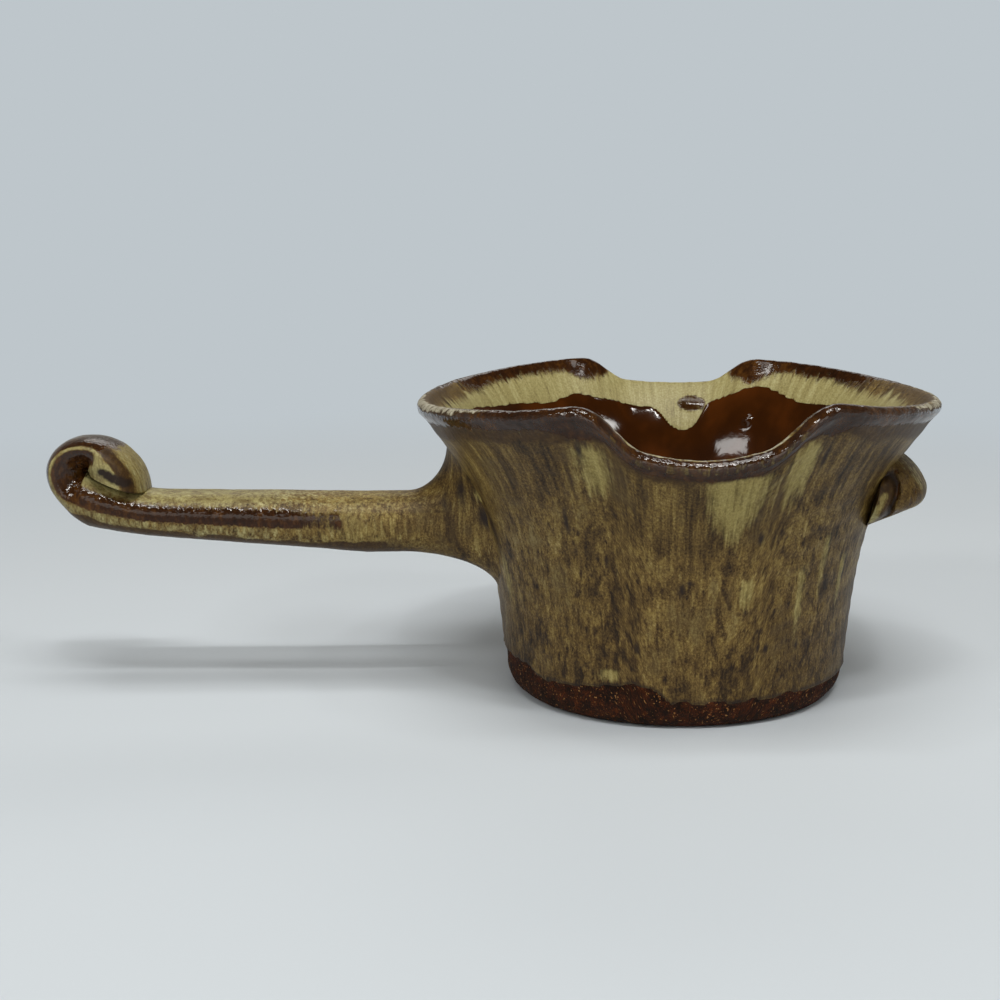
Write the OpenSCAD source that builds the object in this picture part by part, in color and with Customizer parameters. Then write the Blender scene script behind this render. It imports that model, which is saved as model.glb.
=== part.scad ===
// Stoneware butter warmer: a small thrown pot with a flared brim and two pouring dips,
// a pulled bar handle whose end is rolled back on itself, and a rolled lug opposite it.
// The handle is on -X, the lug on +X, and the deeper dip faces -Y. The foot stands on z = 0.

/* [Pot] */
// Radius that the wall would have at the table
foot_r = 37.2; // [32:0.1:46]
// Outer radius of the rim at its two sides
rim_r = 57; // [50:0.5:68]
// Height of the rim at its two sides
rim_z = 65; // [55:0.5:85]
// How far the rim climbs from its sides to the corners of the dips
rim_rise = 3.8; // [0:0.1:8]
// Outward lean of the lower wall, in mm for each mm of height
wall_lean = 0.088; // [0:0.002:0.15]
// Angle of the wall from upright where it meets the rim
lip_lean = 45; // [35:0.5:55]
// Thickness of the wall at the foot
wall_t = 4.6; // [3.5:0.1:6]
// Thickness of the rounded rim
lip_t = 3.7; // [2.4:0.1:4.4]
// Thickness of the floor
floor_t = 5; // [3:0.1:8]
// Radius of the inside corner between wall and floor
floor_fillet = 9; // [4:0.5:14]
// Width of the rounded bevel at the foot
bevel_w = 3.9; // [1:0.1:6]
// Height of the rounded bevel at the foot
bevel_h = 5; // [2:0.1:8]

/* [Pouring dips] */
// Width of the front dip along the rim
front_dip_w = 48; // [30:0.5:54]
// Depth of the front dip
front_dip_depth = 10.9; // [4:0.1:14]
// How far the front dip is turned towards the lug, in degrees
front_dip_turn = 0.5; // [-10:0.5:10]
// Width of the back dip along the rim
back_dip_w = 43.5; // [30:0.5:54]
// Depth of the back dip
back_dip_depth = 7.1; // [4:0.1:14]
// How far the back dip is turned towards the lug, in degrees
back_dip_turn = 4.5; // [-10:0.5:10]
// Share of a dip's depth that its floor climbs before the corners
dip_bow = 0.4; // [0:0.05:0.7]
// Width of the S-bend at each corner of a dip
dip_corner_w = 9; // [5:0.5:12]
// How far the rim is pushed up at the corners of the front dip
dip_lift = 0.9; // [0:0.1:2]
// How far the rim is pulled outwards at the middle of a dip
dip_pull = 2.5; // [0:0.1:4]
// How far the wall is pinched inwards at the corners of a dip
corner_pinch = 1.2; // [0:0.1:2]

/* [Handle] */
// Distance from the pot's axis to the end of the handle
handle_reach = 139; // [120:0.5:170]
// Height of the top of the bar at the pot
bar_top_z = 44; // [38:0.5:50]
// How far the top of the bar climbs towards the curl
bar_rise = 1.2; // [0:0.1:4]
// Thickness of the bar at the pot
bar_root_t = 13.3; // [10:0.1:18]
// Thickness of the bar before the curl
bar_end_t = 9; // [7:0.1:11]
// Width of the bar
bar_w = 17; // [12:0.5:22]
// Radius of the smoothed clay where the bar meets the wall
root_fillet = 9.5; // [4:0.5:11]
// Length of the same clay along the underside of the bar
root_under = 15; // [6:0.5:20]

/* [Curl] */
// Height of the curl's eye above the top of the bar
eye_rise = 4.4; // [3:0.1:6]
// Radius of the hole that is left at the eye
eye_r = 0.7; // [0.5:0.1:2]
// Distance from the eye to the underside of the bar below it
curl_root_r = 12.3; // [10:0.1:14]
// Distance from the eye to the end of the handle
curl_r = 9.2; // [7.5:0.1:11]
// Distance from the eye to the crown of the curl
curl_crown_r = 7.8; // [6.5:0.1:9]
// Distance from the eye to the end of the rolled tip
curl_tip_r = 13.4; // [11:0.1:15]
// Width of the rolled tip
curl_tip_w = 20; // [14:0.5:24]
// Share of the strap's width by which both sides of the roll are dished in at its eye
curl_dish = 0.7; // [0:0.05:0.8]

/* [Lug] */
// How far the lug is turned from the handle's line towards the front dip, in degrees
lug_turn = 17; // [-20:1:25]
// Height at which the lug's strap leaves the wall
lug_top_z = 51.8; // [46:0.2:54]
// Width of the lug along the wall
lug_w = 26; // [14:0.5:28]
// Thickness of the lug's strap
lug_t = 3.1; // [2.8:0.1:5]
// Length of the strap's run outwards
lug_out = 7; // [5:0.1:9]
// Angle below level at which the strap leaves the wall
lug_droop = 35; // [25:1:45]
// Angle by which the strap bends down on its run outwards
lug_bend = 30; // [10:1:40]
// Angle below level at which the strap comes back to the wall
lug_return = 25; // [15:1:35]

/* [Hidden] */

// Thickness of the slip in a joint
slip_t = 0.1;
// Overlap of the floor and the wall that are thrown as one
floor_lap = 1;

// Steps round the pot, and along the parts of its section
turn_steps = 148;
bevel_steps = 4;
outer_steps = 11;
lip_steps = 6;
inner_steps = 8;
fillet_steps = 4;
// How much closer the steps round the pot lie at the dips, and at their corners, than at the sides
dip_focus = 0.6;
corner_focus = 0.35;
// How much closer the steps up the wall lie at the rim than at the foot
rim_focus = 0.8;

// Steps round and along the handle
bar_sides = 24;
bar_steps = 6;
ramp_steps = 7;
root_steps = 6;
curl_steps = 36;
// Steps round and along the lug
lug_sides = 20;
lug_run_steps = 4;
lug_fold_steps = 8;

// Squareness of the bar's section and of the lug's, where 2 is an ellipse
bar_square = 2.3;
lug_square = 2.5;
// Distance along the rim over which a corner's lift fades out
lift_w = 14;
// Half width of a corner's pinch, and how far beyond the dip it lies
pinch_w = 4;
pinch_out = 1.5;
// How quickly the pulls and pinches at the rim fade down the wall
press_power = 8;

lip_r = lip_t / 2;
lip_slope = tan(lip_lean);
side_lip_z = lip_z(0);
flare = rim_r - lip_r * (1 - cos(lip_lean)) - foot_r - wall_lean * side_lip_z;
flare_power = (lip_slope - wall_lean) * side_lip_z / flare;
base_r = outer_r(bevel_h, 0) - bevel_w;
floor_edge_z = floor_t + floor_fillet;

bar_end_z = bar_top_z + bar_rise;
bar_root_z = bar_top_z - bar_root_t / 2;
// Where the bar's own taper starts, clear of the smoothed root
bar_root_x = -outer_r(bar_top_z + root_fillet, 180) - 2 * root_fillet;
eye_x = curl_r - handle_reach;
eye_z = bar_end_z + eye_rise;
// Where the bar starts to climb towards the eye, that far before the place that the tip comes down on
ramp_lead = 4;
ramp_x = eye_x + curl_tip_r + ramp_lead;
// Gap that is left between the rolled tip and the bar, and the angle at which the tip reaches it
tip_gap = 0.6;
curl_turn = 270 + asin((eye_rise - tip_gap) / curl_tip_r);
// Angles round the eye at which the strap settles into the curl, and at which its tip starts to reach out
settle_q = 60;
reach_q = 185;
// How steeply the tip reaches out, and the share of the dish that it keeps
reach_power = 1.9;
tip_dish = 0.3;

// Width of the slit that is left where the lug's strap closes on itself
lug_slit = 0.4;
lug_fold_r = (lug_t + lug_slit) / 2;
lug_fold = 180 - lug_droop - lug_bend - lug_return;
// How deep both ends of the lug's strap reach into the wall, before they are cut to seat on it
lug_bury = 6;

function smooth(x) = let (t = min(1, max(0, x))) t * t * (3 - 2 * t);
function mix(a, b, t) = a + (b - a) * t;
function rounded(x, power) = sign(x) * pow(abs(x), 2 / power);

// Rim height round the pot before the dips are pressed in, and distance from the middle of a dip
function crest_z(a) = rim_z + rim_rise * pow(sin(a), 2);
function front_side(a) = side(a, 270 + front_dip_turn);
function back_side(a) = side(a, 90 - back_dip_turn);
function side(a, middle) = rim_r * (cos(a - middle) > 0 ? abs(sin(a - middle)) : 1);

// Shares of a dip, of the lift at its corners and of the pinch there, at a distance s from its middle
function dip_share(s, w) =
    (1 - dip_bow * pow(min(1, 2 * s / w), 2)) * (1 - smooth((s - w / 2) / dip_corner_w + 1));
function lift_share(s, w) = smooth(2 * s / w) * smooth((w / 2 - s) / lift_w + 1);
function pinch_share(s, w) = exp(-pow((s - w / 2 - pinch_out) / pinch_w, 2));

function top_z(a) =
    crest_z(a)
    + dip_lift * lift_share(front_side(a), front_dip_w)
    - front_dip_depth * dip_share(front_side(a), front_dip_w)
    - back_dip_depth * dip_share(back_side(a), back_dip_w);

// How far the wall is pressed out of its round at height z and angle a
function press(z, a) =
    pow(z / top_z(a), press_power) * (
        dip_pull * (dip_share(front_side(a), front_dip_w) + dip_share(back_side(a), back_dip_w))
        - corner_pinch * (pinch_share(front_side(a), front_dip_w) + pinch_share(back_side(a), back_dip_w))
    );

// The wall at height z and angle a: its outer radius, its lean and its thickness
function lip_z(a) = crest_z(a) - lip_r * (1 + sin(lip_lean));
function outer_r(z, a) = foot_r + wall_lean * z + flare * pow(z / lip_z(a), flare_power) + press(z, a);
function lean(z, a) =
    atan(
        wall_lean
        + flare * flare_power / lip_z(a) * pow(z / lip_z(a), flare_power - 1)
        + press(z, a) * press_power / z
    );
function thick(z, a) = mix(wall_t, lip_t, z / lip_z(a));
function wall_end_z(a) = top_z(a) - lip_r * (1 + sin(lean(top_z(a) - lip_t, a)));
function wall_step_z(top, i) = mix(bevel_h, top, pow(i / outer_steps, rim_focus));
function inner_point(z, a) =
    let (t = thick(z, a), tilt = lean(z, a))
    [outer_r(z, a) - t * cos(tilt), z + t * sin(tilt)];

// One section through the wall, from the inner edge of the base round to the floor
function pot_section(a) =
    let (
        end_z = wall_end_z(a),
        tilt = lean(end_z, a),
        bead_r = thick(end_z, a) / 2,
        bead = [outer_r(end_z, a) - bead_r * cos(tilt), end_z + bead_r * sin(tilt)],
        floor_r = inner_point(floor_edge_z, a)[0] - floor_fillet
    )
    concat(
        [[floor_r, 0]],
        [for (i = [0 : bevel_steps])
            let (q = 90 * i / bevel_steps)
            [base_r + bevel_w * sin(q), bevel_h * (1 - cos(q))]],
        [for (i = [1 : outer_steps])
            let (z = wall_step_z(end_z, i))
            [outer_r(z, a), z]],
        [for (i = [1 : lip_steps])
            let (q = 180 * i / lip_steps - tilt)
            bead + bead_r * [cos(q), sin(q)]],
        [for (i = [1 : inner_steps - 1])
            inner_point(mix(end_z, floor_edge_z, i / inner_steps), a)],
        [for (i = [0 : fillet_steps])
            let (q = 90 * i / fillet_steps)
            [floor_r + floor_fillet * cos(q), floor_edge_z - floor_fillet * sin(q)]]
    );

// Angle of step i round the pot: the steps crowd together at the dips and their corners
function turn(i) =
    let (u = 360 * i / turn_steps)
    u + (dip_focus * sin(2 * u) + corner_focus * sin(4 * u) / 2) * 90 / PI;

// Triangles between neighbouring rings of n points each
function skin(rings, n, closed) =
    [for (i = [0 : rings - (closed ? 1 : 2)], j = [0 : n - 1])
        let (a = i * n, b = (i + 1) % rings * n, k = (j + 1) % n)
        each [[a + j, a + k, b + k], [a + j, b + k, b + j]]];
function flat(lists) = [for (list = lists) each list];
function reversed(list) = [for (i = [len(list) - 1 : -1 : 0]) list[i]];

// A solid through a row of rings that starts on its +X side, closed by a flat face at each end
module loft(rings) {
    n = len(rings[0]);
    last = len(rings) - 1;
    ends = [
        [for (j = [n - 1 : -1 : 0]) j],
        [for (j = [0 : n - 1]) last * n + j]
    ];
    polyhedron(flat(rings), concat(skin(len(rings), n, false), ends));
}

// The space inside the wall as it is at angle a, with room for slip: it cuts the seats of the luted parts
module wall_space(a) {
    top = lip_z(a);
    rotate_extrude($fn = 96)
        polygon(concat(
            [[0, bevel_h]],
            [for (i = [0 : outer_steps])
                let (z = wall_step_z(top, i))
                [outer_r(z, a) + slip_t, z]],
            [[0, top]]
        ));
}

module pot() {
    sections = [for (i = [0 : turn_steps - 1])
        let (a = turn(i))
        [for (p = pot_section(a)) [p[0] * cos(a), p[0] * sin(a), p[1]]]];
    floor_r = inner_point(floor_edge_z, 0)[0] - floor_fillet;
    color("#85734f")
    union() {
        polyhedron(flat(sections), skin(turn_steps, len(sections[0]), true));
        cylinder(r = floor_r + floor_lap, h = floor_t, $fn = 96);
    }
}

// Ring across a strap from its point low to its point high, with its width w along Y.
// Both sides are dished in towards the high point by that share of the width.
function strap_ring(low, high, w, sides, power, dish = 0) =
    [for (i = [0 : sides - 1])
        let (
            q = 360 * i / sides,
            up = rounded(sin(q), power),
            p = mix(low, high, (1 + up) / 2),
            y = w / 2 * rounded(cos(q), power) * (1 - dish * smooth((1 + up) / 2))
        )
        [p[0], y, p[1]]];

// Ring of the smoothed root, which swells from the bar (q = 0) to the wall (q = 90)
function root_ring(q) =
    [for (i = [0 : bar_sides - 1])
        let (
            s = 360 * i / bar_sides,
            y = bar_w / 2 * rounded(cos(s), bar_square),
            z = bar_root_z + bar_root_t / 2 * rounded(sin(s), bar_square),
            seat_y = y + root_fillet * cos(s),
            seat_z = z + root_fillet * sin(s),
            seat_x = -sqrt(pow(outer_r(seat_z, 180), 2) - pow(seat_y, 2)),
            reach = mix(root_fillet, root_under, max(0, -sin(s))),
            swell = root_fillet * (1 - cos(q))
        )
        [seat_x - reach * (1 - sin(q)), y + swell * cos(s), z + swell * sin(s)]];

// Ring of the bar at x: near the curl the bar climbs until its top is at the eye
function bar_ring(x) =
    let (
        f = (bar_root_x - x) / (bar_root_x - eye_x),
        climb = pow(max(0, (ramp_x - x) / (ramp_x - eye_x)), 2),
        top = mix(bar_top_z, bar_end_z, f),
        under = top - mix(bar_root_t, bar_end_t, f)
    )
    strap_ring(
        [x, under + climb * (eye_rise + bar_end_t - curl_root_r)],
        [x, top + climb * (eye_rise - eye_r)],
        bar_w, bar_sides, bar_square
    );

// Outer radius of the curl at angle q round the eye, from the bar below it over the crown to the tip
function curl_reach(q) =
    curl_r
    + (curl_root_r - curl_r) * pow(max(0, 1 - q / settle_q), 2)
    - (curl_r - curl_crown_r) * smooth(q / 90 - 1)
    + (curl_tip_r - curl_crown_r) * pow(max(0, (q - reach_q) / (curl_turn - reach_q)), reach_power);
function curl_ring(q) =
    let (eye = [eye_x, eye_z], out = [-sin(q), -cos(q)])
    strap_ring(
        eye + out * curl_reach(q),
        eye + out * eye_r,
        mix(bar_w, curl_tip_w, smooth(q / curl_turn)), bar_sides, bar_square,
        curl_dish * smooth(q / settle_q) * mix(1, tip_dish, smooth((q - reach_q) / settle_q))
    );

module handle() {
    inside = [for (p = root_ring(90)) [-foot_r / 2, p[1], p[2]]];
    root = [for (i = [root_steps : -1 : 0]) root_ring(90 * i / root_steps)];
    bar = [for (i = [0 : bar_steps - 1]) bar_ring(mix(bar_root_x, ramp_x, i / bar_steps))];
    ramp = [for (i = [0 : ramp_steps - 1]) bar_ring(mix(ramp_x, eye_x, i / ramp_steps))];
    curl = [for (i = [0 : curl_steps]) curl_ring(curl_turn * i / curl_steps)];
    color("#b3a468")
    difference() {
        loft(concat([inside], root, bar, ramp, curl));
        wall_space(180);
    }
}

// Point and heading at fraction f of a run that starts at p = [x, z, heading] and turns as it goes
function run_at(p, length, turns, f) =
    let (h = p[2], g = h + turns * f)
    turns == 0
        ? [p[0] + length * f * cos(h), p[1] + length * f * sin(h), h]
        : let (r = length / turns * 180 / PI)
          [p[0] + r * (sin(g) - sin(h)), p[1] + r * (cos(h) - cos(g)), g];

// How far the strap at p must be thickened on its inner side to reach the slit
function lug_fill(p, eye, slit) =
    ((eye[0] - p[0]) * sin(slit) - (eye[1] - p[1]) * cos(slit)) / cos(p[2] - slit) - lug_fold_r;
function lug_ring(p, fill) =
    let (middle = [p[0], p[1]], normal = [-sin(p[2]), cos(p[2])])
    strap_ring(
        middle - normal * (lug_t / 2 + fill),
        middle + normal * lug_t / 2,
        lug_w, lug_sides, lug_square
    );

// The strap runs out and down, folds and comes back, and both arms thicken until they close on each other
module lug() {
    leave = [outer_r(lug_top_z, -lug_turn), lug_top_z, -lug_droop];
    knee = run_at(leave, lug_out, -lug_bend, 1);
    fold_run = lug_fold * lug_fold_r * PI / 180;
    heel = run_at(knee, fold_run, -lug_fold, 1);
    back_run = (heel[0] - outer_r(heel[1], -lug_turn)) / cos(lug_return) + lug_bury;
    eye = [knee[0] + lug_fold_r * sin(knee[2]), knee[1] - lug_fold_r * cos(knee[2])];
    slit = (knee[2] + heel[2]) / 2 - 90;
    root = run_at(leave, -lug_bury, 0, 1);
    out_arm = [for (i = [0 : lug_run_steps - 1]) run_at(leave, lug_out, -lug_bend, i / lug_run_steps)];
    fold = [for (i = [0 : lug_fold_steps]) run_at(knee, fold_run, -lug_fold, i / lug_fold_steps)];
    back_arm = [for (i = [1 : lug_run_steps]) run_at(heel, back_run, 0, i / lug_run_steps)];
    color("#6f5a38")
    rotate([0, 0, -lug_turn])
    difference() {
        loft(reversed(concat(
            [for (p = concat([root], out_arm)) lug_ring(p, lug_fill(p, eye, slit))],
            [for (p = fold) lug_ring(p, 0)],
            [for (p = back_arm) lug_ring(p, lug_fill(p, eye, slit))]
        )));
        wall_space(-lug_turn);
    }
}

pot();
handle();
lug();
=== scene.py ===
"""Stoneware butter warmer: a thrown pot with two pouring dips, a pulled handle and a rolled lug."""

import itertools
import math
from types import SimpleNamespace

import bmesh
import bpy
import numpy as np
from mathutils import Matrix, Vector


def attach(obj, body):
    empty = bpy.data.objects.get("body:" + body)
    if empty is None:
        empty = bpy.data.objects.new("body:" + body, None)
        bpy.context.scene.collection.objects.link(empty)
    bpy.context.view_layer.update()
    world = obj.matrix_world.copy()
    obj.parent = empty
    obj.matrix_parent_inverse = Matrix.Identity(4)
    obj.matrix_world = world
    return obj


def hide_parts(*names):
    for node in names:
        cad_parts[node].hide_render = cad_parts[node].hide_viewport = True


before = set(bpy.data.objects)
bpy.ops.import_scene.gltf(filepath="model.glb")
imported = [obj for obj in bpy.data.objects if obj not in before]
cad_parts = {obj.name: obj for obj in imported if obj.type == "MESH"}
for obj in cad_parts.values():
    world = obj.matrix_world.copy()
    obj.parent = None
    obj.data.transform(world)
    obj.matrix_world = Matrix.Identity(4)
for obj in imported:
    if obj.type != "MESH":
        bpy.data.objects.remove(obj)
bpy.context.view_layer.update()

# Lengths are in millimetres, and angles in radians, unless a name or a comment says otherwise.
MM = 0.001
TAU = 2 * math.pi
QUARTER = math.pi / 2

# The pot, with the values of the solid model
FOOT_R = 37.2
RIM_R = 57.0
RIM_Z = 65.0
RIM_RISE = 3.8
WALL_LEAN = 0.088
LIP_LEAN = math.radians(45)
WALL_T = 4.6
LIP_T = 3.7
FLOOR_T = 5.0
FLOOR_FILLET = 9.0
BEVEL_W = 3.9
BEVEL_H = 5.0

# Its two dips
FRONT = math.radians(270.5)
FRONT_DIP_W = 48.0
FRONT_DIP_DEPTH = 10.9
BACK = math.radians(85.5)
BACK_DIP_W = 43.5
BACK_DIP_DEPTH = 7.1
DIP_BOW = 0.4
DIP_CORNER_W = 9.0
DIP_LIFT = 0.9
DIP_PULL = 2.5
CORNER_PINCH = 1.2
LIFT_W = 14.0
PINCH_W = 4.0
PINCH_OUT = 1.5
PRESS_POWER = 8
# The distances over which a dip is averaged to round its corners
CORNER_ROUND = (-2.4, -0.8, 0.8, 2.4)

# Steps of the pot's mesh, and how they crowd towards the rim, the dips and their corners
TURN_STEPS = 720
BASE_STEPS = 5
BEVEL_STEPS = 12
OUTER_STEPS = 130
LIP_STEPS = 20
INNER_STEPS = 90
FILLET_STEPS = 12
FLOOR_STEPS = 9
RIM_FOCUS = 0.8
DIP_FOCUS = 0.5
CORNER_FOCUS = 0.2

# Large odd numbers that scatter the cells of the noise
CELL_FACTORS = (73856093, 19349663, 83492791)
SEED_FACTOR = 40503
SCRAMBLE = ((13, 1274126177), (15, 668265263))


def smooth(x):
    t = np.clip(x, 0, 1)
    return t * t * (3 - 2 * t)


def mix(a, b, t):
    return a + (b - a) * t


def rise(x, start, over):
    """0 up to the start, and 1 from that far beyond it."""
    return smooth((x - start) / over)


def below(x, limit, soft):
    """1 where x is under the limit, with a soft edge of that width."""
    return smooth((limit - x) / soft + 0.5)


def band(x, low, high, soft):
    """1 between low and high, with soft edges of that width."""
    return below(low, x, soft) * below(x, high, soft)


def hump(x, middle, half):
    """1 in the middle, and fading on both sides over about that half width."""
    return np.exp(-(((x - middle) / half) ** 2))


def lattice(cell, seed):
    """A repeatable random number from -1 to 1 at each whole-number cell."""
    h = seed * SEED_FACTOR
    for axis, factor in enumerate(CELL_FACTORS):
        h = h ^ cell[..., axis] * factor
    for shift, factor in SCRAMBLE:
        h = (h ^ h >> shift) * factor & 0x7FFFFFFF
    return (h >> 7 & 0xFFFF) / 32767.5 - 1


def noise(p, size, seed):
    """Smooth noise from -1 to 1 whose cells have that size, one number or one for each axis."""
    q = p / np.asarray(size, float)
    low = np.floor(q).astype(np.int64)
    f = smooth(q - low)
    total = 0.0
    for corner in itertools.product((0, 1), repeat=3):
        weight = np.prod(np.where(np.array(corner) == 1, f, 1 - f), axis=-1)
        total = total + weight * lattice(low + np.array(corner), seed)
    return total


def lumps(p, *layers):
    """Layers of noise, each given by its height, its size and its seed."""
    return sum(height * noise(p, size, seed) for height, size, seed in layers)


# The pot's section

LIP_R = LIP_T / 2


def crest_z(a):
    return RIM_Z + RIM_RISE * np.sin(a) ** 2


def side(a, middle):
    """Distance along the rim from the middle of a dip."""
    return RIM_R * np.where(np.cos(a - middle) > 0, np.abs(np.sin(a - middle)), 1.0)


def dip_share(s, w):
    """How far a dip is down at a distance from its middle. The glaze rounds the corners of the clay."""
    total = 0.0
    for off in CORNER_ROUND:
        t = np.abs(s + off)
        bow = 1 - DIP_BOW * np.minimum(1, 2 * t / w) ** 2
        total = total + bow * below(t, w / 2 - DIP_CORNER_W / 2, DIP_CORNER_W)
    return total / len(CORNER_ROUND)


def lift_share(s, w):
    return smooth(2 * s / w) * smooth((w / 2 - s) / LIFT_W + 1)


def pinch_share(s, w):
    return hump(s, w / 2 + PINCH_OUT, PINCH_W)


def front_dip(a):
    return dip_share(side(a, FRONT), FRONT_DIP_W)


def back_dip(a):
    return dip_share(side(a, BACK), BACK_DIP_W)


def pinches(a):
    return pinch_share(side(a, FRONT), FRONT_DIP_W) + pinch_share(side(a, BACK), BACK_DIP_W)


def top_z(a):
    lift = DIP_LIFT * lift_share(side(a, FRONT), FRONT_DIP_W)
    return crest_z(a) + lift - FRONT_DIP_DEPTH * front_dip(a) - BACK_DIP_DEPTH * back_dip(a)


def press(z, a):
    """How far the wall is pressed out of its round."""
    pull = DIP_PULL * (front_dip(a) + back_dip(a)) - CORNER_PINCH * pinches(a)
    return (z / top_z(a)) ** PRESS_POWER * pull


def lip_z(a):
    return crest_z(a) - LIP_R * (1 + math.sin(LIP_LEAN))


SIDE_LIP_Z = float(lip_z(0.0))
FLARE = RIM_R - LIP_R * (1 - math.cos(LIP_LEAN)) - FOOT_R - WALL_LEAN * SIDE_LIP_Z
FLARE_POWER = (math.tan(LIP_LEAN) - WALL_LEAN) * SIDE_LIP_Z / FLARE


def outer_r(z, a):
    return FOOT_R + WALL_LEAN * z + FLARE * (z / lip_z(a)) ** FLARE_POWER + press(z, a)


def lean(z, a):
    flare = FLARE * FLARE_POWER / lip_z(a) * (z / lip_z(a)) ** (FLARE_POWER - 1)
    return np.arctan(WALL_LEAN + flare + press(z, a) * PRESS_POWER / z)


def thick(z, a):
    return mix(WALL_T, LIP_T, z / lip_z(a))


def wall_end_z(a):
    return top_z(a) - LIP_R * (1 + np.sin(lean(top_z(a) - LIP_T, a)))


def inner_point(z, a):
    t, tilt = thick(z, a), lean(z, a)
    return outer_r(z, a) - t * np.cos(tilt), z + t * np.sin(tilt)


BASE_R = float(outer_r(BEVEL_H, 0.0)) - BEVEL_W
FLOOR_EDGE_Z = FLOOR_T + FLOOR_FILLET


def pot_section(a):
    """Radius and height of the rings at the angles a, from the base round the rim to the floor inside.

    The third value is the number of the ring on top of the rim.
    """
    end = wall_end_z(a)
    tilt = lean(end, a)
    bead = thick(end, a) / 2
    bead_r = outer_r(end, a) - bead * np.cos(tilt)
    bead_z = end + bead * np.sin(tilt)
    floor_r = inner_point(FLOOR_EDGE_Z, a)[0] - FLOOR_FILLET
    flat = 0 * a
    rows = []
    k = np.arange(1, BASE_STEPS + 1) / (BASE_STEPS + 1)
    rows.append((BASE_R * k + flat, 0 * k + flat))
    q = np.linspace(0, QUARTER, BEVEL_STEPS + 1)
    rows.append((BASE_R + BEVEL_W * np.sin(q) + flat, BEVEL_H * (1 - np.cos(q)) + flat))
    z = mix(BEVEL_H, end, (np.arange(1, OUTER_STEPS + 1) / OUTER_STEPS) ** RIM_FOCUS)
    rows.append((outer_r(z, a), z))
    q = math.pi * np.arange(1, LIP_STEPS + 1) / LIP_STEPS - tilt
    rows.append((bead_r + bead * np.cos(q), bead_z + bead * np.sin(q)))
    z = mix(end, FLOOR_EDGE_Z, np.arange(1, INNER_STEPS) / INNER_STEPS)
    rows.append(inner_point(z, a))
    q = np.linspace(0, QUARTER, FILLET_STEPS + 1)
    rows.append((floor_r + FLOOR_FILLET * np.cos(q), FLOOR_EDGE_Z - FLOOR_FILLET * np.sin(q) + flat))
    k = 1 - np.arange(1, FLOOR_STEPS + 1) / (FLOOR_STEPS + 1)
    rows.append((floor_r * k, FLOOR_T + 0 * k + flat))
    rim_ring = BASE_STEPS + BEVEL_STEPS + 1 + OUTER_STEPS + LIP_STEPS // 2
    return np.hstack([row[0] for row in rows]), np.hstack([row[1] for row in rows]), rim_ring


# Meshes

FIELDS = ("tone", "low", "pale", "mauve", "cream", "ash", "dark", "brown", "liner", "bare", "pitted")


def swell(p, push):
    """A grid of points whose first axis is closed, pushed out along its normals."""
    n = np.cross(np.roll(p, -1, 0) - np.roll(p, 1, 0), np.gradient(p, axis=1))
    n = n / np.maximum(np.linalg.norm(n, axis=-1, keepdims=True), 1e-9)
    return p + n * push[..., None]


def ring_faces(rings, n, closed):
    """Quads between neighbouring rings of n points, for points in the order [ring, point]."""
    faces = []
    for i in range(rings if closed else rings - 1):
        a, b = i * n, (i + 1) % rings * n
        faces += [(a + j, b + j, b + (j + 1) % n, a + (j + 1) % n) for j in range(n)]
    return faces


def capped_faces(rings, n):
    """Faces of a tube of rings, closed by a fan at each end on the two points that follow the rings."""
    faces = ring_faces(rings, n, False)
    first, last = rings * n, rings * n + 1
    for j in range(n):
        following = (j + 1) % n
        faces.append((first, j, following))
        faces.append((last, (rings - 1) * n + following, (rings - 1) * n + j))
    return faces


def add_piece(name, points, faces, fields, material, node):
    """A smooth mesh with the glaze fields on its points, which stands for a node of the frame."""
    mesh = bpy.data.meshes.new(name)
    mesh.from_pydata((points * MM).tolist(), [], faces)
    work = bmesh.new()
    work.from_mesh(mesh)
    bmesh.ops.recalc_face_normals(work, faces=work.faces)
    work.to_mesh(mesh)
    work.free()
    mesh.polygons.foreach_set("use_smooth", [True] * len(mesh.polygons))
    flow = mesh.attributes.new("flow", "FLOAT_VECTOR", "POINT")
    flow.data.foreach_set("vector", fields["flow"].ravel())
    for key in FIELDS:
        values = fields.get(key, np.zeros(len(points)))
        mesh.attributes.new(key, "FLOAT", "POINT").data.foreach_set("value", values)
    mesh.materials.append(material)
    piece = bpy.data.objects.new(name, mesh)
    bpy.context.scene.collection.objects.link(piece)
    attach(piece, "root")
    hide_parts(node)


def with_ends(p):
    """The points of rings in a row, followed by the middles of the first and the last ring."""
    return np.vstack([p.reshape(-1, 3), p[0].mean(0), p[-1].mean(0)])


def add_strap(name, p, push, coats, material, node):
    """A piece from rings of points that are pushed along their normals, closed at both ends."""
    points = with_ends(swell(p.transpose(1, 0, 2), push.T).transpose(1, 0, 2))
    fields = {key: np.append(np.clip(value, -1, 1), [0, 0]) for key, value in coats.items()}
    fields["flow"] = with_ends(p)
    add_piece(name, points, capped_faces(*p.shape[:2]), fields, material, node)


# Glaze

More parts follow.
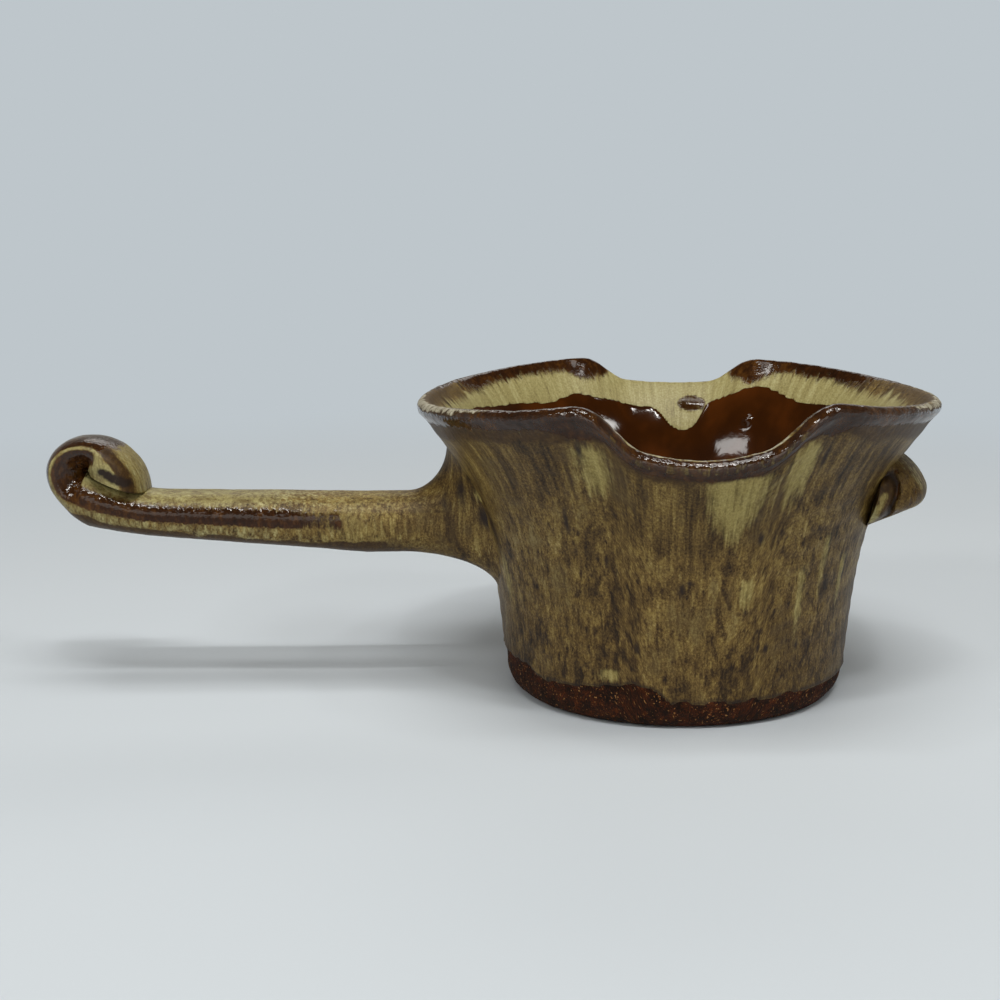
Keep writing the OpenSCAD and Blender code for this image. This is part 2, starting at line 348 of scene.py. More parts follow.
# Noise in the glaze: waves for each millimetre, the third along the flow on the pot, detail and roughness
GRAINS = {
    "streak": ((1.15, 1.15, 0.075), 4.0, 0.62),
    "run": ((0.38, 0.38, 0.04), 3.0, 0.55),
    "stroke": ((1.3, 1.3, 0.50), 3.0, 0.62),
    "blot": ((0.36, 0.36, 0.17), 3.0, 0.55),
    "cloud": ((0.085, 0.085, 0.06), 3.0, 0.55),
    "grain": ((2.6, 2.6, 2.0), 2.0, 0.75),
    "speck": ((0.9, 0.9, 0.5), 3.0, 0.6),
    "dash": ((1.0, 1.0, 0.36), 2.0, 0.5),
    "lump": ((0.4, 0.4, 0.4), 2.0, 0.5),
    "grog": ((1.9, 1.9, 1.9), 1.0, 0.5),
    "peel": ((0.7, 0.7, 0.7), 2.0, 0.5),
    "dimple": ((1.3, 1.3, 1.3), 1.0, 0.5),
    "pits": ((2.6, 2.6, 2.6), 3.0, 0.65),
}

# The wall's own glaze: the noise in its tone, high on the wall, low on it and all over, and its colours
UPPER_WALL = {"streak": 0.34, "run": 0.30}
LOWER_WALL = {"stroke": 0.22, "blot": 0.36, "streak": 0.10}
WHOLE_WALL = {"cloud": 0.18, "grain": 0.28}
WALL_COLOURS = (
    (0.00, (34, 22, 8)),
    (0.28, (67, 49, 21)),
    (0.52, (99, 77, 37)),
    (0.76, (130, 108, 57)),
    (1.00, (162, 142, 85)),
)
SMUDGE_COLOUR = (62, 47, 28)

# Coats over the wall's glaze: the noise that frays a coat's edge, the values of its field where it starts
# and is full, then the noise and the middle of its tone, and its colours along the tone
COATS = {
    "pale": (
        {"streak": 0.28, "stroke": 0.24}, (0.20, 1.0), {"grain": 0.26, "streak": 0.20}, 0.5,
        ((0.10, (110, 94, 48)), (0.50, (146, 131, 76)), (0.95, (180, 167, 108))),
    ),
    "mauve": (
        {"streak": 0.34, "run": 0.16}, (0.30, 0.70), {"speck": 0.24, "grain": 0.16}, 0.5,
        ((0.08, (36, 23, 8)), (0.50, (62, 42, 17)), (0.95, (96, 73, 34))),
    ),
    "cream": (
        {"streak": 0.42, "speck": 0.10}, (0.26, 0.74), {"streak": 0.24, "grain": 0.22}, 0.5,
        ((0.05, (107, 92, 57)), (0.50, (152, 142, 93)), (0.95, (188, 181, 134))),
    ),
    # The ash colours also paint a highlight along the inner edge of the front dip
    "ash": (
        {"streak": 0.34, "speck": 0.46}, (0.38, 0.62), {"speck": 0.30, "grain": 0.20}, 0.5,
        ((0.10, (92, 83, 64)), (0.50, (156, 149, 128)), (0.95, (200, 195, 177))),
    ),
    "dark": ({"speck": 0.16}, (0.15, 0.95), {}, 0.5, ()),
    "brown": (
        {"streak": 0.28, "speck": 0.24}, (0.30, 0.70), {"speck": 0.30, "cloud": 0.2}, 0.5,
        ((0.10, (27, 13, 4)), (0.55, (50, 27, 9)), (0.95, (88, 55, 19))),
    ),
    "liner": (
        {"speck": 0.05}, (0.40, 0.60), {"cloud": 0.4}, 0.5,
        ((0.10, (34, 13, 2)), (0.50, (52, 24, 3)), (0.95, (82, 40, 8))),
    ),
    "bare": (
        {"speck": 0.08}, (0.42, 0.58), {"grain": 0.40, "lump": 0.30}, 0.42,
        ((0.06, (16, 6, 1)), (0.42, (46, 20, 3)), (0.80, (88, 40, 8)), (1.00, (122, 62, 18))),
    ),
}
# These two stay where their fields are above nothing
HELD_COATS = ("ash", "brown")
HOLD_LIMITS = (0.0, 0.15)
# The dark coat has one colour, for real dark marks and for painted shade in folds and grooves
DARK_COLOUR = (38, 26, 18)

# Brown freckles in the cream of the handle and lug, and grains of grog in the bare clay
FRECKLE_COLOUR = (86, 64, 31)
GROG_COLOURS = ((0.35, (126, 64, 20)), (0.65, (184, 134, 76)))

# Gloss: the wall's roughness from its darkest to its palest tone, its shine, and the clear coat on brown
WALL_ROUGH = (0.52, 0.42)
SPECULAR = 0.22
CLEAR_COAT = 0.6
CLEAR_COAT_ROUGH = 0.08

# Heights of the finest relief, in metres
SATIN_RELIEF = {"peel": 0.00010, "streak": 0.00006, "grain": 0.00005}
SMOOTH_DIMPLES = 0.00004
PITTED_DIMPLES = 0.0002
LINER_PEEL = 0.00002
CLAY_PITS = 0.0008


def linear(r, g, b):
    """A colour on the screen's 0 to 255 scale as the renderer's linear colour."""
    c = np.array([r, g, b]) / 255
    return (*np.where(c <= 0.04045, c / 12.92, ((c + 0.055) / 1.055) ** 2.4), 1.0)


class Graph:
    """The nodes of a material or a world, written as expressions on sockets."""

    def __init__(self, owner):
        owner.use_nodes = True
        self.tree = owner.node_tree

    def fill(self, node, inputs):
        """Gives a node its inputs, by name or number: values, or the sockets of other nodes."""
        for key, value in inputs.items():
            if isinstance(value, bpy.types.NodeSocket):
                self.tree.links.new(value, node.inputs[key])
            else:
                node.inputs[key].default_value = value

    def node(self, kind, inputs, **settings):
        """The outputs of a new node."""
        node = self.tree.nodes.new("ShaderNode" + kind)
        for key, value in settings.items():
            setattr(node, key, value)
        self.fill(node, inputs)
        return node.outputs

    def field(self, name, output="Fac"):
        return self.node("Attribute", {}, attribute_name=name)[output]

    def noise(self, vector, scale, detail, roughness):
        """Noise from 0 to 1, with a scale for each axis."""
        scaled = self.node("VectorMath", {0: vector, 1: scale}, operation="MULTIPLY")[0]
        values = {"Vector": scaled, "Scale": 1.0, "Detail": detail, "Roughness": roughness}
        return self.node("TexNoise", values)["Fac"]

    def math(self, operation, a, b):
        return self.node("Math", {0: a, 1: b}, operation=operation)[0]

    def sum(self, first, *rest):
        for value in rest:
            first = self.math("ADD", first, value)
        return first

    def times(self, a, b):
        return self.math("MULTIPLY", a, b)

    def swing(self, noise, amount):
        """Noise turned into a push, most of which lies between -amount and amount."""
        return self.times(self.math("SUBTRACT", noise, 0.5), 4 * amount)

    def step(self, value, low, high):
        """0 up to the low value and 1 from the high one, with a smooth rise between them."""
        values = {"Value": value, "From Min": low, "From Max": high}
        return self.node("MapRange", values, interpolation_type="SMOOTHSTEP")["Result"]

    def ramp(self, value, *stops):
        """Colours along a value: each stop is a place and a screen colour."""
        node = self.tree.nodes.new("ShaderNodeValToRGB")
        self.fill(node, {"Fac": value})
        row = node.color_ramp.elements
        while len(row) < len(stops):
            row.new(0.5)
        for element, (place, colour) in zip(row, stops):
            element.position = place
            element.color = linear(*colour)
        return node.outputs["Color"]

    def blend(self, amount, a, b):
        """Colour a, covered by colour b as far as the amount says."""
        return self.node("Mix", {0: amount, 6: a, 7: b}, data_type="RGBA")[2]

    def lerp(self, amount, a, b):
        return self.node("Mix", {0: amount, 2: a, 3: b})[0]


def make_glaze():
    """Running ash glaze over dark stoneware: each coat is a field on the mesh, frayed by noise."""
    material = bpy.data.materials.new("ash_glaze")
    g = Graph(material)
    flow = g.field("flow", "Vector")
    grains = {name: g.noise(flow, *values) for name, values in GRAINS.items()}
    low = g.field("low")
    pitted = g.field("pitted")

    def swings(amounts):
        return [g.swing(grains[name], amount) for name, amount in amounts.items()]

    def cover(name):
        edge, limits = COATS[name][:2]
        field = g.field(name)
        amount = g.step(g.sum(field, *swings(edge)), *limits)
        return g.times(amount, g.step(field, *HOLD_LIMITS)) if name in HELD_COATS else amount

    def tint(name, *more):
        mottle, middle, colours = COATS[name][2:]
        return g.ramp(g.sum(*swings(mottle), *more, middle), *colours)

    dashes = g.times(g.step(grains["dash"], 0.56, 0.68), -0.28)
    upper = g.sum(*swings(UPPER_WALL))
    lower = g.sum(*swings(LOWER_WALL), dashes, 0.04)
    tone = g.sum(g.lerp(low, upper, lower), *swings(WHOLE_WALL), g.field("tone"), 0.5)
    colour = g.ramp(tone, *WALL_COLOURS)
    smudge = g.step(g.sum(grains["cloud"], *swings({"blot": 0.16})), 0.52, 0.70)
    colour = g.blend(g.times(smudge, 0.5), colour, linear(*SMUDGE_COLOUR))

    colour = g.blend(cover("pale"), colour, tint("pale"))
    colour = g.blend(cover("mauve"), colour, tint("mauve"))
    cream = cover("cream")
    blots = g.times(g.sum(*swings({"blot": 0.40}), -0.20), low)
    colour = g.blend(cream, colour, tint("cream", blots))
    freckles = g.times(g.times(g.step(grains["speck"], 0.52, 0.66), low), cream)
    colour = g.blend(g.times(freckles, 0.7), colour, linear(*FRECKLE_COLOUR))
    colour = g.blend(cover("ash"), colour, tint("ash"))
    colour = g.blend(cover("dark"), colour, linear(*DARK_COLOUR))
    brown = cover("brown")
    colour = g.blend(brown, colour, tint("brown"))
    liner = cover("liner")
    colour = g.blend(liner, colour, tint("liner"))
    bare = cover("bare")
    grog = g.step(grains["grog"], 0.645, 0.72)
    clay = g.blend(grog, tint("bare"), g.ramp(grains["speck"], *GROG_COLOURS))
    colour = g.blend(bare, colour, clay)

    rough = g.lerp(tone, *WALL_ROUGH)
    for amount, value in ((cream, 0.36), (brown, 0.11), (liner, 0.07), (bare, 0.88)):
        rough = g.lerp(amount, rough, value)

    satin = g.sum(*[g.times(grains[name], height) for name, height in SATIN_RELIEF.items()])
    glossy = g.times(grains["dimple"], g.lerp(pitted, SMOOTH_DIMPLES, PITTED_DIMPLES))
    glazed = g.lerp(liner, g.lerp(brown, satin, glossy), g.times(grains["peel"], LINER_PEEL))
    height = g.lerp(bare, glazed, g.times(grains["pits"], CLAY_PITS))
    normal = g.node("Bump", {"Strength": 1.0, "Distance": 1.0, "Height": height})["Normal"]
    g.fill(g.tree.nodes["Principled BSDF"], {
        "Base Color": colour,
        "Roughness": rough,
        "Normal": normal,
        "Coat Weight": g.times(g.times(brown, pitted), CLEAR_COAT),
        "Coat Normal": normal,
        "Coat Roughness": CLEAR_COAT_ROUGH,
        "Specular IOR Level": SPECULAR,
    })
    return material


# The glaze on the pot

# Where the coats end, as pairs of an angle round the pot in degrees and a height
GLAZE_LINE = (
    (20, 6.4), (80, 7.4), (140, 6.6), (188, 9.3), (208, 9.2), (217, 7.2), (228, 7.3), (240, 8.5),
    (254, 9.8), (258, 8.6), (262, 6.2), (280, 5.9), (300, 6.2), (332, 5.7),
)
CREAM_LINE = (
    (0, 59.0), (44, 58.5), (52, 60.4), (57, 61.8), (62, 61.0), (66, 59.4), (70, 58.2), (73, 57.4),
    (74.2, 56.2), (75.2, 53.8), (76.8, 51.8), (79, 50.8), (81.5, 50.6), (83.5, 51.2), (85.5, 52.4),
    (87.5, 54.5), (91, 56.1), (96, 56.6), (102, 57.8), (109, 59.2), (114, 60.1), (123, 58.5),
    (135, 58.8), (157, 59.6), (200, 58.5), (240, 57.0), (300, 58.0),
)
# The turns, in degrees, over which such a line is averaged to round its corners
LINE_ROUND = (-1.2, -0.4, 0.4, 1.2)
# Runs of pale glaze outside: angle in degrees, top, bottom, half widths at top and bottom, and strength
PALE_RUNS = (
    (245.8, 62.5, 48, 3.2, 3, 1),
    (278, 57.5, 38, 9, 2.2, 1.05),
    (293, 63, 46, 3.4, 2.2, 1.05),
    (303, 36, 16.5, 1.3, 1.2, 0.75),
    (311, 42, 24, 1.5, 1, 0.70),
    (322, 36, 20, 1.1, 1.3, 0.85),
    (284.5, 33, 25, 1.3, 1.8, 0.80),
    (202, 34, 21, 1.6, 2, 0.75),
    (244.5, 13, 9.6, 1.6, 2.8, 0.85),
    (30, 58, 40, 4, 1.6, 0.75),
    (62, 60, 41, 3.2, 1.6, 0.75),
    (92, 57, 34, 7, 2, 0.80),
    (118, 36, 18, 1.4, 1.2, 0.70),
    (140, 58, 43, 3, 1.4, 0.75),
    (152, 34, 20, 1.3, 1.6, 0.65),
)
# How a run sets in and fades, as shares of its height: the start, and over how much
RUN_HEAD = (-0.06, 0.3)
RUN_TAIL = (0.45, 0.8)
# Purple-brown flecks, and painted shade in two folds under the front dip's corners: angle in degrees, height,
# half width and half height
FLECKS_AND_FOLD_SHADE = (
    (266, 30.6, 0.8, 2),
    (268, 32, 1, 0.7),
    (253, 17.8, 0.7, 1.6),
    (292.4, 17, 0.8, 1.2),
    (289.5, 17.4, 0.5, 1),
    (304, 16.6, 0.7, 1.4),
    (234.4, 44, 0.8, 3.2),
    (287, 41, 0.9, 1.6),
    (199, 38, 2, 4.5),
    (245, 36, 0.6, 1.6),
    # These two are painted shade in the folds under the corners of the front dip
    (243.2, 60, 0.8, 2.6),
    (298.4, 58, 0.9, 4),
    (42, 30, 0.9, 2),
    (75, 22, 0.8, 1.6),
    (104, 40, 0.8, 2.6),
    (146, 28, 1, 1.8),
)
# The brown blob and the small pimple inside: angle in degrees, height, half width and half height
BLOB = (78.4, 57.0, 4.0, 2.1)
PIMPLE = (59.8, 53.6, 1.0, 1.0)

# The streaks are laid out at that radius, and draw together on the floor inside without crowding
FLOW_R = 40.0
FLOW_CROWD = 1.1
BASE_FLOW = (0, 0, -90)
FLOOR_FLOW = (0, 0, 110)

# Noise that frays the ends of the glaze and of the cream: its height, its size and its seed
GLAZE_FRAY = (0.35, (2.2, 2.2, 60), 11)
CREAM_FRAY = (0.3, (3, 3, 90), 13)

# Below, an edge is a distance from the top of the rim along the section, which is negative outside, and a
# band is from one edge to another, with its softness.

# Inside: how deep the band under the rim goes at the sides and on the high rim, then in the dips, and what
# the pinched corners add. The cream keeps a gap to the top.
BAND_ENDS = (6.2, 5.0)
BAND_DIP = 0.4
BAND_SOFT = 7.5
CORNER_MORE = 3.2
CREAM_GAP = 4.0

# The bead of the rim: the inner edge of its brown at the sides and on the high rim, then in the back and the
# front dip, and how deep it goes
BROWN_TOPS = (-1.3, 2.2)
BROWN_DIP_TOPS = (0.9, 0.5)
BROWN_END = 4.6
BEAD_SOFT = 1.2
PITTED_BAND = (-2.4, 1.4, 1.6)

# The ash on the bead reaches that many degrees from the side, at the back and at the front. The brown rises
# from the lead before that, and the ash fades from the tail before it, each over so many degrees.
ASH_REACH = (18.0, 54.0)
ASH_LEAD = 26
ASH_OVER = 30
ASH_TAIL = 8
ASH_FADE = 14
# Edges of the ash, of the painted highlight on the front dip's inner edge, and of the gold outside the dips
ASH_END = 1.3
DIP_EDGE_HIGHLIGHT_BAND = (0.7, 1.5, 0.6)
GOLD_BAND = (-3.5, -0.9, 1.2)

# Outside, by depth under the rim: where the mauve ends, round the rim and in the dips, the dark line under
# the dips, and the tone of the wall
MAUVE_ENDS = (8.2, 6.0)
DIP_LINE_BAND = (3.4, 4.9, 1.1)
TOP_TONE = -0.07
MID_TONE = 0.07
MID_WALL = (18, 12)
FOOT_TONE = -0.17
FOOT_WALL = (38, 25)

# The glaze ends above the foot in a thick, dark roll: its middle above the glaze line, and its half width
ROLL_RISE = 0.35
ROLL_HALF = 0.5

# Relief of the pot: the clay lies inside the solid, and each layer of lumps has a height, a size and a seed
POT_CLAY = -0.20
POT_SAG = (0.20, 24, 31)
THROWN_RINGS = 0.05
RING_WAVES = 1.5
BEAD_LUMPS = ((0.07, 2.6, 37), (0.05, 1.2, 39))
BEAD_END = 4.5
WALL_LUMPS = (0.10, (7, 7, 12), 41)
GLAZE_T = 0.38
ROLL_H = 0.16
CLAY_LUMPS = ((0.10, 1.3, 43), (0.07, 0.7, 47))
CREAM_T = 0.12
BLOB_H = 0.5
PIMPLE_H = 0.8
PALE_T = 0.1
# The foot stays flat up to that height, and the rest keeps off the table
STILL_Z = 0.4
LEAST_Z = 0.05


def line_height(line, degrees):
    """Height of a line round the pot, with its corners rounded."""
    angle, height = np.array(line, float).T
    total = sum(np.interp(degrees + off, angle, height, period=360) for off in LINE_ROUND)
    return total / len(LINE_ROUND)


def arc_off(at, angle):
    """Distance round the pot from an angle in degrees."""
    return np.radians((at.degrees - angle + 180) % 360 - 180) * at.r


def spot_distance(at, angle, height, wide, tall):
    """Distance from the middle of an oval spot on the pot, which is 1 on its edge."""
    return np.hypot(arc_off(at, angle) / wide, (at.z - height) / tall)


def spot(at, *place):
    return np.exp(-spot_distance(at, *place) ** 2)


def pot_places():
    """The pot's grid of points, in the order [turn, ring], and where each point lies on the pot."""
    u = np.arange(TURN_STEPS) * TAU / TURN_STEPS
    a = (u + (DIP_FOCUS * np.sin(2 * u) + CORNER_FOCUS * np.sin(4 * u) / 2) / 2)[:, None]
    r, z, rim_ring = pot_section(a)
    full = 0 * z
    steps = np.hypot(np.diff(r, axis=1, prepend=r[:, :1]), np.diff(z, axis=1, prepend=z[:, :1]))
    along = np.cumsum(steps, axis=1)
    edge = along - along[:, rim_ring:rim_ring + 1]
    spread = np.minimum(FLOW_R, FLOW_CROWD * r)
    flow = np.stack([spread * np.cos(a), spread * np.sin(a), edge], -1)
    dip = front_dip(a) + back_dip(a) + full
    at = SimpleNamespace(a=a, r=r, z=z, edge=edge, depth=np.abs(edge), flow=flow)
    at.p = np.stack([r * np.cos(a), r * np.sin(a), z], -1)
    at.inside = edge > 0
    at.outside = ~at.inside
    at.back = np.sin(a) > 0
    at.degrees = np.degrees(a) % 360 + full
    at.from_side = np.degrees(np.arctan2(np.abs(np.sin(a)), np.abs(np.cos(a)))) + full
    at.in_dip = rise(dip, 0.0, 1 / 3)
    at.dip_floor = rise(dip, 0.25, 0.4)
    at.high_brown = rise(at.from_side, 16, 20)
    at.corner = pinches(a) + full
    at.waver = noise(flow, (5, 5, 30), 5)
    at.tick = noise(flow, (1.1, 1.1, 5), 7)
    return at


def inner_coats(at):
    """Inside: the cream, the band under the rim and the liner."""
    line = np.minimum(line_height(CREAM_LINE, at.degrees), top_z(at.a) - CREAM_GAP)
    cream_z = line + lumps(at.flow, CREAM_FRAY)
    blob = at.inside * below(spot_distance(at, *BLOB), 1, 0.45)
    # The blob stays only partly liner: a brown lump whose lighter colour, between liner and cream, is painted
    # sheen
    over_liner = below(cream_z, at.z, 0.5) * (1 - 0.56 * blob)
    high_end = mix(*BAND_ENDS, rise(at.from_side, 20, 30))
    band_end = mix(high_end, BAND_DIP, at.dip_floor) + CORNER_MORE * at.corner + 0.8 * at.waver
    cream = at.inside * below(band_end, at.depth, BAND_SOFT) * over_liner
    rim_band = at.inside * below(at.depth, band_end, BAND_SOFT) * over_liner
    liner = at.inside * (1 - over_liner) * rise(at.depth, 2, 1.5)
    return cream, rim_band, liner


def rim_coats(at, rim_band):
    """The rim's brown bead, all its brown, its ash, a painted highlight, and the gold on the dips' outer
    edge.
    """
    reach = np.where(at.back, *ASH_REACH)
    round_rim = mix(*BROWN_TOPS, rise(at.from_side, reach - ASH_LEAD, ASH_OVER))
    dip_top = np.where(at.back, *BROWN_DIP_TOPS)
    brown_top = mix(round_rim, dip_top, at.in_dip) + 0.5 * at.tick
    brown_end = BROWN_END + CORNER_MORE * at.corner + 0.4 * at.waver
    bead = below(at.edge, brown_top, BEAD_SOFT) * below(at.depth, brown_end, 2.6)
    tips = 1 - rise(at.from_side, reach - ASH_TAIL, ASH_FADE)
    ash = 0.68 * band(at.edge, brown_top, ASH_END, BEAD_SOFT) * tips * (1 - at.in_dip)
    # The thin pale line along the inner edge of the front dip is a painted highlight
    ash = np.maximum(ash, 0.58 * at.in_dip * band(at.edge, *DIP_EDGE_HIGHLIGHT_BAND) * ~at.back)
    gold = at.in_dip * band(at.edge, *GOLD_BAND)
    brown = np.maximum(bead, rim_band * at.high_brown * mix(1.0, 0.5, at.dip_floor))
    brown = brown * (1 - 0.8 * ash) * (1 - 0.34 * gold)
    return bead, brown, ash, gold


def pale_runs(at):
    pale = np.zeros_like(at.z)
    for angle, top, bottom, wide_top, wide_bottom, strength in PALE_RUNS:
        f = (top - at.z) / (top - bottom)
        half = mix(wide_top, wide_bottom, np.clip(f, 0, 1)) * (1 + 0.3 * at.waver)
        run = hump(arc_off(at, angle), 0, half) * rise(f, *RUN_HEAD) * (1 - rise(f, *RUN_TAIL))
        pale = np.maximum(pale, strength * run)
    return pale


def pot_coats(at):
    """The fields of all coats on the pot, and the roll at the end of the glaze."""
    cream, rim_band, liner = inner_coats(at)
    bead, brown, ash, gold = rim_coats(at, rim_band)

    glaze_z = line_height(GLAZE_LINE, at.degrees) + lumps(at.flow, GLAZE_FRAY)
    bare = at.outside * below(at.z, glaze_z, 0.7)
    roll = at.outside * hump(at.z, glaze_z + ROLL_RISE, ROLL_HALF)

    pale = at.outside * np.maximum(pale_runs(at) * (1 - bead), 0.5 * gold)
    mauve_end = mix(*MAUVE_ENDS, at.in_dip) - at.corner + 1.3 * at.waver
    mauve = at.outside * below(at.depth, mauve_end, 5.5) * (1 - gold)
    mauve = np.maximum(mauve, 0.5 * rim_band * (1 - at.high_brown)) * (1 - 0.75 * pale)

    # Real flecks, and painted shade in the folds under the front dip's corners
    flecks_and_fold_shade = np.maximum.reduce([spot(at, *fleck) for fleck in FLECKS_AND_FOLD_SHADE])
    dip_line = 0.6 * band(at.depth, *DIP_LINE_BAND) * at.in_dip
    dark = at.outside * np.maximum.reduce([0.85 * flecks_and_fold_shade, 0.75 * roll, dip_line])
    down_wall = TOP_TONE + MID_TONE * rise(at.depth, *MID_WALL) + FOOT_TONE * rise(at.depth, *FOOT_WALL)
    coats = {
        "tone": at.outside * down_wall + 0.05 * at.waver,
        "low": at.outside * rise(at.depth, 14, 16),
        "pitted": band(at.edge, *PITTED_BAND),
    }
    coats.update(pale=pale, mauve=mauve, cream=cream, ash=ash, dark=dark, brown=brown, liner=liner, bare=bare)
    return coats, roll


def pot_relief(at, coats, roll):
    """How far the glazed surface lies outside the shape of the section."""
    rings = THROWN_RINGS * np.sin(RING_WAVES * at.z + 2 * at.waver) * rise(at.depth, 6, 8)
    wall = lumps(at.p, WALL_LUMPS) * rise(at.depth, 6, 6)
    glaze = GLAZE_T * (1 - coats["bare"]) * rise(at.depth, 5, 4)
    blob = BLOB_H * np.clip(1 - spot_distance(at, *BLOB) ** 2, 0, 1)
    push = POT_CLAY + lumps(at.p, POT_SAG)
    push = push + lumps(at.p, *BEAD_LUMPS) * below(at.depth, BEAD_END, 2)
    push = push + at.outside * (rings + wall + glaze) + ROLL_H * roll + PALE_T * coats["pale"]
    push = push + coats["bare"] * lumps(at.p, *CLAY_LUMPS)
    push = push + CREAM_T * coats["cream"] * rise(at.depth, 2, 5)
    return push + at.inside * (blob + PIMPLE_H * spot(at, *PIMPLE))


def build_pot(material):
    at = pot_places()
    coats, roll = pot_coats(at)
    still = at.outside & (at.z < STILL_Z)
    p = swell(at.p, pot_relief(at, coats, roll) * ~still)
    p[..., 2] = np.where(still, at.z, np.maximum(p[..., 2], LEAST_Z))

    rings = p.shape[1]
    points = np.vstack([p.reshape(-1, 3), [[0, 0, 0], [0, 0, FLOOR_T]]])
    faces = ring_faces(TURN_STEPS, rings, True)
    faces = [f for i, f in enumerate(faces) if i % rings != rings - 1]
    base, floor = len(points) - 2, len(points) - 1
    for i in range(TURN_STEPS):
        j = (i + 1) % TURN_STEPS
        faces.append((base, j * rings, i * rings))
        faces.append((floor, i * rings + rings - 1, j * rings + rings - 1))
    poles = {"liner": (0, 1), "bare": (1, 0)}
    fields = {key: np.append(np.clip(value, -1, 1), poles.get(key, (0, 0))) for key, value in coats.items()}
    fields["flow"] = np.vstack([at.flow.reshape(-1, 3), BASE_FLOW, FLOOR_FLOW])
    add_piece("thrown_pot", points, faces, fields, material, "pot")


# The handle and its curl, with the values of the solid model

HANDLE_REACH = 139.0
BAR_TOP_Z = 44.0
BAR_RISE = 1.2
BAR_ROOT_T = 13.3
BAR_END_T = 9.0
BAR_W = 17.0
BAR_SQUARE = 2.3
ROOT_FILLET = 9.5
# The glazed root is fuller than the bare clay, above and below
ROOT_ABOVE = 11.0
ROOT_UNDER = 24.0
EYE_RISE = 4.4
CURL_ROOT_R = 12.3
CURL_R = 9.2
CURL_CROWN_R = 7.8
CURL_TIP_R = 13.4
CURL_TIP_W = 20.0
CURL_DISH = 0.5
TIP_DISH = 0.3
RAMP_LEAD = 4.0
TIP_GAP = 0.6
SETTLE_Q = math.radians(60)
REACH_Q = math.radians(185)
REACH_POWER = 1.9

BAR_END_Z = BAR_TOP_Z + BAR_RISE
BAR_ROOT_Z = BAR_TOP_Z - BAR_ROOT_T / 2
BAR_ROOT_X = -float(outer_r(BAR_TOP_Z + ROOT_FILLET, math.pi)) - 2 * ROOT_FILLET
EYE_X = CURL_R - HANDLE_REACH
EYE_Z = BAR_END_Z + EYE_RISE
RAMP_X = EYE_X + CURL_TIP_R + RAMP_LEAD
CURL_TURN = 1.5 * math.pi + math.asin((EYE_RISE - TIP_GAP) / CURL_TIP_R)
# The glazed tip closes on the bar: it turns that far beyond the bare clay
TIP_PRESS = math.radians(4)
# The root's end lies that far inside the wall
ROOT_BURY = 0.6

ROOT_RINGS = 30
BAR_RINGS = 130
RAMP_RINGS = 50
CURL_RINGS = 180
BAR_SIDES = 96

# Marks on the handle: place, half sizes, and strength, which is negative for a pale ridge.
# The first five are painted shade in the groove in the side of the tip.
HANDLE_MARKS = (
    (-124.9, -8.5, 50.4, 1.2, 5.0, 0.8, 1.5),
    (-123.7, -8.5, 49.7, 1.3, 5.0, 1.0, 1.5),
    (-122.5, -8.5, 49.0, 1.3, 5.0, 1.1, 1.5),
    (-121.3, -8.5, 48.4, 1.3, 5.0, 1.1, 1.5),
    (-120.1, -8.5, 47.9, 1.3, 5.0, 0.9, 1.5),
    (-42.3, -11.7, 39.6, 2.4, 3.4, 3.6, 1.0),
    (-47.5, -8.6, 45.5, 1.3, 3.4, 4.0, 0.9),
    (-51.0, -6.5, 42.5, 1.0, 3.4, 3.0, 0.7),
    (-43.0, -12.4, 45.0, 1.8, 3.4, 1.7, -1.0),
    (-44.5, -12.0, 33.0, 1.4, 3.4, 3.4, -1.0),
)

# Noise at the end of the tip's coat: the degrees that it moves, its size and its seed
TIP_FRAY = (12, 4, 59)

# Places along the bar where a coat changes, and over how much
BAR_COAT = (-102, 34)
ROOT_COAT = (-66, 22)
UNDER_COAT = (-62, 9)
BAND_FADES = ((-90, 14), (-76, 14))
BAND_CHOPPED = (-100, 16)
# Degrees round the curl where a coat changes, and over how many
BROWN_SPREAD = (14, 30)
STREAK_TURN = (195, 55)
STREAK_FADE = (205, 30)
TIP_RELIEF = (250, 20)

# Shares of the way across the strap, from its outer or lower face to its inner or upper one, on the bar
# and on the curl
UNDER_V = (0.21, 0.06)
BAND_LOW_V = (0.42, 0.27)
BAND_TOP_V = (0.78, 1.25)
# The brown streak follows the outer edge over the crown, and then crosses the side of the tip
STREAK_V = (0.06, 0.22)
STREAK_HALF = 0.11
EDGE_V = 0.07

# How strong the streak is, as brown and as mauve
STREAK_STRENGTH = 0.95

# The crease on the near side of the root: its place, half width, heights with their softness, and depth
CREASE_X = -54.5
CREASE_HALF = 0.9
CREASE_BAND = (35.5, 42, 2)
CREASE_DEPTH = 0.5
# The painted shade on the ramp under the tip, from the eye, and on the lump on the far side of the crown
RAMP_SHADE = (1, 11, 4)
LUMP_Y = 3.0

# Relief of the handle: the clay lies inside the solid, and is fuller below
HANDLE_CLAY = -0.24
HANDLE_LUMPS = ((0.10, 9, 65), (0.05, (2.2, 3, 3), 67))
HANDLE_CREAM_T = 0.08
FULL_UNDER = 0.4


def rounded(x, power):
    return np.sign(x) * np.abs(x) ** (2 / power)


def strap_ring(low, high, w, s, dish=0.0):
    """A ring across the strap from its outer to its inner face, whose sides are dished in by that share."""
    up = rounded(np.sin(s), BAR_SQUARE)
    f = (1 + up) / 2
    y = w / 2 * rounded(np.cos(s), BAR_SQUARE) * (1 - dish * smooth(f))
    return np.stack([mix(low[0], high[0], f), y, mix(low[1], high[1], f)], -1)


